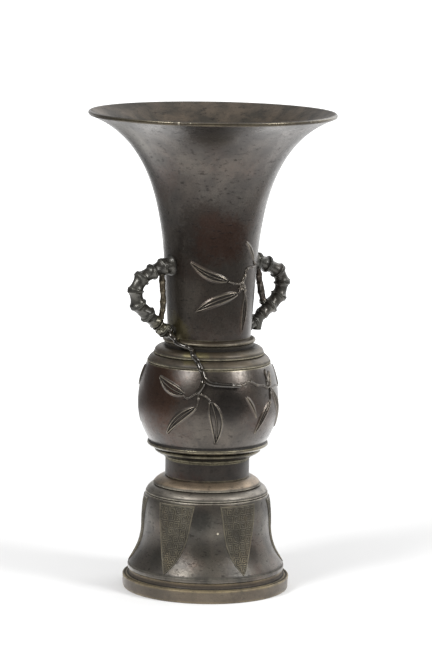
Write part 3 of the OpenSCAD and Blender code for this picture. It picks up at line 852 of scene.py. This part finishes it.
# Hanging lappets on the bell, filled with squared spirals
LAPPET_TOP = 51.0
LAPPET_TIP = 13.3
LAPPET_HALF_ANGLE = 19.5
LAPPET_ROWS = 236
LAPPET_COLS = 150
FRET_CELL = 3.8
FRET_PITCH = 0.95
LAPPET_LEANS = (-1.4, 0.8, -0.6, -1.2, 1.0, -2.9)


def fret(x, z):
    """1 on the lines of a field of squared spirals and 0 between them"""
    column = np.floor(x / FRET_CELL)
    row = np.floor(z / FRET_CELL)
    u = (x / FRET_CELL - column - 0.5) * FRET_CELL
    v = (z / FRET_CELL - row - 0.5) * FRET_CELL
    u = np.where((column + row) % 2 == 0, u, -u)
    reach = np.maximum(np.abs(u), np.abs(v))
    sector = np.where(np.abs(u) >= np.abs(v), np.where(u > 0, 0, 2), np.where(v > 0, 1, 3))
    wind = reach / FRET_PITCH - sector / 4
    return smoothstep(0.22, 0.34, np.abs((wind % 1) - 0.5))


def lappet(lean):
    """One lappet on the front; its tip leans by an angle, as on a hand-cut model"""
    rows = np.linspace(0, 0.996, LAPPET_ROWS)[:, None]
    cols = np.linspace(-1, 1, LAPPET_COLS)[None, :]
    height = LAPPET_TOP + (LAPPET_TIP - LAPPET_TOP) * rows
    outline = np.array(BELL_SIDE)
    r = np.interp(height, outline[:, 1], outline[:, 0])
    half = LAPPET_HALF_ANGLE * (1 - 0.34 * rows ** 0.6) * (1 - rows ** 3.6)
    azimuth = half * cols
    across = np.radians(half) * r
    x = np.radians(azimuth) * r
    edge = np.minimum((1 - np.abs(cols)) * across, (LAPPET_TOP - height) + 0 * cols)
    border = np.exp(-((edge - 0.5) / 0.28) ** 2)
    field = smoothstep(1.1, 1.5, edge)
    tall = np.broadcast_to(height, x.shape)
    drift = 0.12 * np.sin(1.1 * tall + 1.3 * x + 2 * lean) + 0.08 * np.sin(2.3 * tall - 0.7 * x)
    rub = 0.78 + 0.14 * np.sin(0.9 * x + 0.5 * tall + 3 * lean) + 0.1 * np.sin(0.37 * tall - 1.6 * x + lean)
    lines = fret(x + drift, tall + 0.12 * np.sin(1.7 * x + 0.6 * tall)) * field * rub
    lift = -0.12 + 0.2 * smoothstep(0, 0.35, edge) + 0.34 * border + 0.3 * lines
    azimuth = azimuth + lean * rows ** 1.5
    top = on_wall(BELL_SIDE, azimuth, tall, lift)
    under = on_wall(BELL_SIDE, azimuth, tall, np.full_like(lift, -SUNK))
    wear = 0.2 * border + (0.16 + 0.8 * smoothstep(0.6, 0.92, rows)) * lines
    # grime between the fret's lines, and a painted shadow line round the lappet's edge
    dirt = 0.7 * smoothstep(0.9, 1.2, edge) * (1 - lines) + 0.9 * (1 - smoothstep(0.05, 0.4, edge))
    return patch(top[::-1], under[::-1], wear[::-1], dirt[::-1])


# Leaves and stalks, placed as (azimuth, height over the neck's foot or over the belly's middle). A leaf is
# (tip, base, width, bow), where bow is how far its midrib bends aside as a share of its length
NECK_LEAVES = [
    ((-57, 43.4), (-8, 33), 3.5, 0.07),
    ((-51, 16), (8, 26.2), 3.9, -0.05),
    ((16.5, 3.2), (20, 25.5), 3.6, 0.03),
    ((14, 54), (34, 42.6), 1.5, -0.05),
]
NECK_STALKS = [
    [(-8, 32.8), (-1, 31.8), (6, 31.4), (12, 31.8), (17, 35.2), (21, 39), (30, 39.4), (40, 39.6)],
    [(34, 42.6), (38, 41), (42, 39.6)],
    [(8, 26.2), (11, 28.4), (14, 31.6), (18.5, 35.8)],
    [(9, 31.2), (13, 28.4), (19, 27.4), (20, 25.5)],
    [(7, 28.6), (12, 30.4), (17, 29), (20.5, 25)],
    [(12, 31.8), (16, 30), (18, 27), (19, 22)],
]
BELLY_LEAVES = [
    ((-79, 17), (-50, 8.6), 4.5, 0.05),
    ((-69, -14), (-40, 2.8), 3.5, -0.05),
    ((-24, -18.5), (-29, 6), 6.2, 0.07),
]
BELLY_STALKS = [
    [(-52, 8.6), (-48, 7), (-44, 8.4), (-41, 9.6)],
    [(-39, 10.5), (-39, 7), (-40, 2.8)],
    [(-41, 9.6), (-37, 9.4), (-33, 8.4), (-29, 6)],
]
SIDE_LEAVES = [
    ((12, -5), (1, 8), 1.3, 0.05),
    ((12, -14), (30, 4), 3.4, -0.04),
    ((55, -14), (33, 9.6), 4.2, 0.05),
    ((37, 19), (31, 11), 2.4, 0.06),
    ((65, 20), (60, 8.6), 3.6, 0.0),
]
SIDE_STALKS = [
    [(-5, 13.4), (-1, 13.6), (3, 15), (7, 15.2), (14, 13), (22, 12.2), (27, 10.6), (31, 11)],
    [(27, 10.8), (29, 14), (29, 18), (31, 20)],
    [(31, 11), (31, 7.5), (30, 4)],
    [(31, 11), (33, 9.6), (45, 10), (60, 8.6)],
]
LEAF_ROWS = 84
LEAF_COLS = 51
HALO = 1.7
STALK_R = 0.75


def leaf(side, base_z, tip, base, width, bow):
    """A bamboo leaf in relief: a raised edge and midrib round sunken panels, in a soft mound"""
    s = np.linspace(0.004, 0.996, LEAF_ROWS)[:, None]
    t = np.linspace(-1, 1, LEAF_COLS)[None, :]
    outline = np.array(side)
    r = np.interp(base_z + (tip[1] + base[1]) / 2, outline[:, 1], outline[:, 0])
    start = np.array([math.radians(base[0]) * r, base_z + base[1]])
    end = np.array([math.radians(tip[0]) * r, base_z + tip[1]])
    length = np.linalg.norm(end - start)
    along = (end - start) / length
    across = np.array([-along[1], along[0]])
    half = 0.5 * width * np.sin(math.pi * s ** 0.78) ** 0.85
    halo = HALO * np.sin(math.pi * (0.06 + 0.88 * s)) ** 0.5
    offset = t * (half + halo)
    line = bow * length * np.sin(math.pi * s) + offset
    x = start[0] + along[0] * length * s + across[0] * line
    height = start[1] + along[1] * length * s + across[1] * line
    depth = half - np.abs(offset)
    rim = np.where(
        depth > 0,
        np.exp(-((depth - 0.1) / 0.42) ** 2),
        0.45 * np.exp(-(depth / 0.45) ** 2) + 0.55 * (1 - smoothstep(0, 1, -depth / np.maximum(halo, 0.05))),
    )
    midrib = np.exp(-(offset / 0.36) ** 2) * smoothstep(0.5, 1.3, half)
    taper = smoothstep(0, 0.06, s) * smoothstep(1, 0.94, s)
    lift = -0.09 + taper * np.maximum(0.7 * rim, 0.6 * midrib) + 0.05 * (depth > 0)
    azimuth = np.degrees(x / r)
    top = on_wall(side, azimuth, height, lift)
    under = on_wall(side, azimuth, height, np.full_like(lift, -SUNK))
    inner = smoothstep(0.15, 0.6, depth)
    dirt = inner * (1 - smoothstep(0.15, 0.5, lift)) * taper
    # pale raised rims and midrib: wear, partly a painted highlight
    wear = 0.75 * smoothstep(0.34, 0.62, lift)
    return patch(top, under, wear, dirt)


def stalk(side, base_z, route):
    """A thin stalk half sunk in the wall, with a joint at each of the route's points"""
    steps = 8
    line = smooth_route(route, steps)
    place = np.arange(len(line)) / steps
    joint = np.exp(-((place - np.round(place)) / 0.09) ** 2)
    ends = np.minimum(place, place[-1] - place)
    radii = STALK_R * (0.82 + 0.4 * joint) * (0.55 + 0.45 * smoothstep(0, 0.35, ends))
    points = on_wall(side, line[:, 0], base_z + line[:, 1], 0.12 + 0 * line[:, 0])
    return sweep(points, radii, 12, wear=0.45 * joint + 0.15)


def spray(side, base_z, leaves, stalks):
    return [leaf(side, base_z, *one) for one in leaves] + [stalk(side, base_z, route) for route in stalks]


# Branches over the shoulder, each point as (azimuth, height over the belly's top, gap to the wall)
SHOULDER_BRANCH = [
    (-84, 18.5, 3.6), (-80, 16.4, 4.4), (-74, 14.2, 3.4), (-66, 12.6, 2.8), (-58, 11.6, 2.9),
    (-52, 10.4, 3.3), (-46, 7.6, 3.1), (-42, 5.2, 3.0), (-38, 1.4, 2.2), (-35.5, -2.4, 1.7),
    (-35.5, -6, 1.4), (-38, -9.4, 1.0), (-40, -11.6, 0.3),
]
SIDE_BRANCH = [
    (-34.6, -3.6, 1.7), (-31, -5.6, 1.5), (-26, -6.4, 1.4), (-19, -6.9, 1.3), (-12, -7.2, 1.3),
    (-5, -7.6, 1.4),
]


def branch(route, radius, seed, cut_end=False):
    """A knotted twig with a swelling at every second point of its route and a lumpy skin"""
    steps = 9
    line = smooth_route(route, steps)
    outline = np.array(SHOULDER)
    height = collar_z + line[:, 1]
    rho = np.interp(height, outline[:, 1], outline[:, 0]) + line[:, 2]
    turn = np.radians(line[:, 0])
    points = np.stack([rho * np.sin(turn), -rho * np.cos(turn), height], axis=-1)
    place = np.arange(len(line)) / steps
    joint = np.exp(-((place - 2 * np.round(place / 2)) / 0.16) ** 2)
    ends = smoothstep(0, 0.3, place[-1] - place)
    radii = radius * (1.0 + 0.15 * joint) * (1 if cut_end else 0.45 + 0.55 * ends)
    phases = np.random.default_rng(seed).uniform(0, 2 * math.pi, 6)

    def lumps(k, around):
        s = k / steps
        return 0.07 * np.sin(2 * around + 0.6 * s + phases[0]) + 0.02 * np.sin(3 * around - s + phases[2])

    return sweep(points, radii, 24, lumps, wear=0.04 * joint)


# Handles, each point as (distance from the vessel's axis, height), for the one at azimuth 90
LEFT_CULM = [
    (21.5, 178.6), (30.0, 177.6), (36.3, 175.2), (42.6, 172.0), (46.2, 165.6), (44.6, 158.2), (38.6, 152.2),
    (32.5, 146.8),
]
LEFT_ROOT = [(32.5, 146.8), (29.0, 143.8), (25.0, 142.2), (21.5, 142.8)]
RIGHT_CULM = [
    (21.5, 178.6), (30.0, 177.8), (36.0, 175.6), (42.9, 171.6), (45.8, 165.2), (43.8, 158.0), (38.2, 152.6),
    (32.6, 148.0),
]
RIGHT_ROOT = [(32.6, 148.0), (28.6, 144.6), (24.6, 142.8), (21.5, 142.8)]
CULM_WAIST = 3.45
CULM_NODE = 5.0


def upright(points):
    return [(rho, 0.0, z) for rho, z in points]


def bamboo(points, seed, waist=CULM_WAIST, node=CULM_NODE):
    """A culm with a ring and a groove at each node, whose internodes are nearly straight and draw in"""
    steps = 26
    route = np.array(upright(points))
    straight = []
    for a, b in zip(route[:-1], route[1:]):
        straight += [a * (1 - k / steps) + b * (k / steps) for k in range(steps)]
    straight = np.array(straight + [route[-1]])
    line = 0.6 * smooth_route(route, steps) + 0.4 * straight
    place = np.arange(len(line)) / steps
    phase = place - np.round(place)
    lengths = np.linalg.norm(np.gradient(line, axis=0), axis=1) * steps
    away = np.abs(phase) * lengths
    flare = (1 - 2 * np.abs(phase)) ** 2.6
    ring = np.exp(-((away - 0.55) / 0.26) ** 2)
    groove = np.exp(-(away / 0.24) ** 2)
    radii = waist + (node - waist) * flare + 0.22 * ring - 0.4 * groove
    last = (place[-1] - place) * lengths
    radii = radii - (radii - 0.9 * waist) * smoothstep(1.6, 0, last)
    phases = np.random.default_rng(seed).uniform(0, 2 * math.pi, 4)

    def lumps(k, around):
        s = k / steps
        gnarl = 0.2 * smoothstep(4.6, 6, s)
        smooth = 0.09 * np.sin(2 * around + 3 * s + phases[0]) + 0.07 * np.sin(5 * around + 6 * s + phases[1])
        return smooth + gnarl * np.sin(4 * around + 11 * s + phases[2]) * math.sin(7 * s + phases[3])

    return sweep(line, radii, 36, lumps, wear=0.32 * ring, dirt=0.8 * groove)


def collar_of_root(seed):
    """The swollen foot of a culm where it leaves the neck"""
    points = smooth_route(upright([(22.0, 178.6), (25.0, 178.3), (28.0, 177.9), (31.0, 177.3)]), 14)
    s = np.linspace(0, 1, len(points))
    radii = 5.0 - 0.9 * s + 1.2 * np.exp(-((s - 0.3) / 0.16) ** 2) + 0.5 * np.exp(-((s - 0.85) / 0.06) ** 2)
    radii *= 1 - 0.35 * smoothstep(0.93, 1, s)
    phases = np.random.default_rng(seed).uniform(0, 2 * math.pi, 4)

    def lumps(k, around):
        broad = 0.16 * np.sin(3 * around + 0.2 * k + phases[0])
        return broad + 0.1 * np.sin(5 * around - 0.3 * k + phases[1])

    # darker where the culm's foot meets the neck: dirt in the joint, partly painted shade
    joint = 0.8 * np.exp(-((s - 0.3) / 0.1) ** 2)
    return sweep(points, radii, 36, lumps, wear=0.3 * np.exp(-((s - 0.85) / 0.08) ** 2), dirt=joint)


def knot(centre, size, seed):
    """A rough lump of bronze, such as a bud or a scar on a branch"""
    rise = np.linspace(-1, 1, 17)
    points = [np.array(centre) + np.array([0, 0, z]) for z in rise * size * 0.98]
    radii = size * np.sqrt(np.maximum(0.02, 1 - rise ** 2))
    phases = np.random.default_rng(seed).uniform(0, 2 * math.pi, 4)

    def lumps(k, around):
        swell = np.sin(3 * around + 0.9 * k + phases[0]) + 0.6 * np.sin(5 * around - 1.3 * k + phases[1])
        return size * 0.14 * swell

    return sweep(points, radii, 20, lumps, wear=0.3)


def left_handle():
    parts = [bamboo(LEFT_CULM, 3), collar_of_root(5), bamboo(LEFT_ROOT, 9, 3.0, 4.0)]
    parts.append(knot((31.0, 0.6, 143.6), 2.7, 21))
    parts.append(knot((28.6, -1.4, 141.4), 2.3, 22))
    parts.append(knot((27.4, 1.6, 144.6), 2.2, 23))
    return parts


def right_handle():
    route = smooth_route(upright([(31.2, 147.6), (30.4, 144.6), (30.2, 142.2), (30.1, 139.9)]), 10)
    stub = sweep(route, np.linspace(3.4, 2.45, len(route)), 28, wear=0.2)
    bud = knot((34.2, 0.4, 155.2), 2.1, 24)
    return [bamboo(RIGHT_CULM, 4), collar_of_root(6), bamboo(RIGHT_ROOT, 10, 2.9, 3.7), stub, bud]


def inner_twig(points, radius, seed):
    """The thin jointed twig inside a handle's loop"""
    steps = 10
    line = smooth_route(upright(points), steps)
    place = np.arange(len(line)) / steps
    joint = np.exp(-((place - np.round(place)) / 0.14) ** 2)
    phases = np.random.default_rng(seed).uniform(0, 2 * math.pi, 4)

    def lumps(k, around):
        broad = 0.12 * np.sin(2 * around + 0.31 * k + phases[0])
        return broad + 0.08 * np.sin(3 * around - 0.5 * k + phases[1])

    return sweep(line, radius + 0.25 * joint, 18, lumps, wear=0.3 * joint)


LEFT_TWIG = [(30.2, 174.6), (30.1, 170), (29.6, 164.5), (29.3, 159), (29.6, 154), (30.6, 149.6)]
RIGHT_TWIG = [(29.6, 174.6), (30.6, 170), (31.6, 165.4), (32.6, 160.6), (33.8, 156)]


def make_ornament():
    for turn, name in ((-180, "left"), (0, "right")):
        culm = left_handle() if name == "left" else right_handle()
        make_piece(f"bamboo_{name}", f"handle_{name}", BAMBOO, turned(culm, turn))
        twig = inner_twig(LEFT_TWIG, 1.55, 31) if name == "left" else inner_twig(RIGHT_TWIG, 1.8, 32)
        tone = TWIG if name == "left" else LEAF
        make_piece(f"twig_{name}", f"inner_twig_{name}", tone, turned([twig], turn))
    for turn, name in ((0, "front"), (180, "back")):
        groups = (
            ("shoulder_branch", BRANCH, "bronze_spray", [branch(SHOULDER_BRANCH, 1.4, 41)]),
            ("side_branch", BRANCH, "bronze_spray", [branch(SIDE_BRANCH, 1.3, 43, cut_end=True)]),
            ("neck_spray", LEAF, "bronze_spray", spray(NECK_SIDE, neck_z, NECK_LEAVES, NECK_STALKS)),
            ("belly_spray", LEAF, "bronze_spray", spray(BELLY_SIDE, belly_mid_z, BELLY_LEAVES, BELLY_STALKS)),
            ("side_spray", LEAF, "bronze_spray", spray(BELLY_SIDE, belly_mid_z, SIDE_LEAVES, SIDE_STALKS)),
        )
        for group, material, slot, shells in groups:
            make_piece(f"{group}_{name}_relief", f"{group}_{name}", material, turned(shells, turn))


def make_lappets():
    for k, lean in enumerate(LAPPET_LEANS):
        panel = lappet(lean)
        make_piece(f"lappet_{k + 1}", None, FRET, turned([panel], 60 * k))


def finish_hidden_nodes():
    for name in ("base_plate", "rivets_left", "rivets_right"):
        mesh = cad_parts[name].data
        mesh.materials.clear()
        mesh.materials.append(HIDDEN)


# The stage: a pale floor, a white surround, two softboxes and a wide fill. It is in metres and degrees
VIEW_AZIMUTH = -31
BRIGHT_AZIMUTH = VIEW_AZIMUTH + 150
CAMERA_PLACE = (-0.8896, -1.4805, 0.4073)
CAMERA_DOWN = 8.81
CAMERA_PAN = 0.12
CAMERA_ROLL = 1.0
CAMERA_LENS = 174.02


def make_camera():
    data = bpy.data.cameras.new("camera")
    data.lens = CAMERA_LENS
    data.sensor_width = 36
    camera = add_object("camera", data)
    place = Matrix.Translation(CAMERA_PLACE)
    heading = Matrix.Rotation(math.radians(VIEW_AZIMUTH - CAMERA_PAN), 4, "Z")
    tilt = Matrix.Rotation(math.radians(90 - CAMERA_DOWN), 4, "X")
    roll = Matrix.Rotation(math.radians(CAMERA_ROLL), 4, "Z")
    camera.matrix_world = place @ heading @ tilt @ roll
    bpy.context.scene.camera = camera


# What the vessel's sheen sees of the floor, by the distance from its axis, and of the room
TABLE_REACH = 0.33
TABLE_FADE = 0.12
TABLE_GLOW = 1.9
DIM_FLOOR_GLOW = 0.26
BRIGHT_FLOOR_GLOW = 1.6
BRIGHT_SIDE_GLOW = 1.2
CEILING_GLOW = 0.75
ROOM_GLOW = 0.23
# The camera sees the lit floor and its shadow up to SHADOW_REACH, and plain white past WHITE_FROM
SHADOW_REACH = 0.3
WHITE_FROM = 0.9
WHITE_LIFT = 0.78
FLOOR_REACH = 6.0
FLOOR_Z = -0.0001
# Each lamp as (name, azimuth, distance, height, size, watts)
LAMPS = (
    ("softbox_left", -75, 1.05, 0.9, (0.36, 0.42), 12),
    ("softbox_right", 31, 1.05, 0.79, (0.36, 0.42), 10),
    ("fill_right", 95, 1.4, 0.9, (0.9, 0.9), 5),
)
LAMP_AIM = Vector((0, 0, 0.14))


def brighter_side(tree, where, low, high):
    """How far a direction or place points to the bright part of the room, behind the vessel to its right"""
    a = math.radians(BRIGHT_AZIMUTH)
    return remap(tree, vector_math(tree, "DOT_PRODUCT", where, (math.sin(a), -math.cos(a), 0)), low, high)


def show(tree, output, shader, ray, other):
    """Gives the output a shader, and another one for the rays of one kind"""
    choice = add_node(tree, "MixShader")
    tree.links.new(ray, choice.inputs[0])
    tree.links.new(shader.outputs[0], choice.inputs[1])
    tree.links.new(other.outputs[0], choice.inputs[2])
    tree.links.new(choice.outputs[0], output.inputs["Surface"])


def make_floor():
    """A pale floor with the vessel's shadow. In the vessel's sheen only a table's width of it is bright"""
    material = bpy.data.materials.new("pale_floor")
    tree, output = new_tree(material, "OutputMaterial")
    diffuse = add_node(tree, "BsdfDiffuse")
    diffuse.inputs["Color"].default_value = (0.8, 0.8, 0.8, 1)
    place = add_node(tree, "TexCoord").outputs["Object"]
    distance = vector_math(tree, "LENGTH", place)
    table = remap(tree, distance, TABLE_REACH, TABLE_REACH + TABLE_FADE, TABLE_GLOW, DIM_FLOOR_GLOW)
    beyond = times(tree, brighter_side(tree, place, 0.3, 0.7), BRIGHT_FLOOR_GLOW)
    table = math_node(tree, "MAXIMUM", table, beyond)
    path = add_node(tree, "LightPath")
    glow = add_node(tree, "Emission")
    lift = remap(tree, distance, SHADOW_REACH, WHITE_FROM, 0.0, WHITE_LIFT)
    tree.links.new(times(tree, path.outputs["Is Camera Ray"], lift), glow.inputs["Strength"])
    both = add_node(tree, "AddShader")
    tree.links.new(diffuse.outputs[0], both.inputs[0])
    tree.links.new(glow.outputs[0], both.inputs[1])
    sheen = add_node(tree, "Emission")
    tree.links.new(table, sheen.inputs["Strength"])
    show(tree, output, both, path.outputs["Is Glossy Ray"], sheen)
    mesh = bpy.data.meshes.new("floor")
    corners = [(x * FLOOR_REACH, y * FLOOR_REACH, FLOOR_Z) for x, y in ((-1, -1), (1, -1), (1, 1), (-1, 1))]
    mesh.from_pydata(corners, [], [(0, 1, 2, 3)])
    mesh.materials.append(material)
    add_object("floor", mesh)


def make_world():
    """A white surround to the camera; a dim room with a bright side and a bright ceiling to the bronze"""
    world = bpy.data.worlds.new("studio")
    bpy.context.scene.world = world
    tree, output = new_tree(world, "OutputWorld")
    where = add_node(tree, "TexCoord").outputs["Generated"]
    side = times(tree, brighter_side(tree, where, 0.4, 0.95), BRIGHT_SIDE_GLOW)
    split = add_node(tree, "SeparateXYZ")
    tree.links.new(where, split.inputs[0])
    ceiling = remap(tree, split.outputs[2], 0.5, 0.95, 0.0, CEILING_GLOW)
    level = plus(tree, math_node(tree, "MAXIMUM", side, ceiling), ROOM_GLOW)
    around = add_node(tree, "Background")
    around.inputs["Color"].default_value = (1, 1, 1, 1)
    tree.links.new(level, around.inputs["Strength"])
    white = add_node(tree, "Background")
    white.inputs["Color"].default_value = (1, 1, 1, 1)
    white.inputs["Strength"].default_value = 1.0
    path = add_node(tree, "LightPath")
    show(tree, output, around, path.outputs["Is Camera Ray"], white)


def make_softbox(name, azimuth, distance, height, size, power):
    data = bpy.data.lights.new(name, "AREA")
    data.shape = "RECTANGLE"
    data.size, data.size_y = size
    data.energy = power
    a = math.radians(azimuth)
    place = Vector((distance * math.sin(a), -distance * math.cos(a), height))
    aim = LAMP_AIM - place
    lamp = add_object(name, data)
    lamp.matrix_world = Matrix.Translation(place) @ aim.to_track_quat("-Z", "Y").to_matrix().to_4x4()


def make_stage():
    make_camera()
    make_floor()
    make_world()
    for lamp in LAMPS:
        make_softbox(*lamp)
    bpy.context.scene.view_settings.view_transform = "Standard"


make_stage()
make_plinth()
make_bell()
make_stem()
make_belly()
make_collar()
make_neck()
make_lappets()
make_ornament()
finish_hidden_nodes()
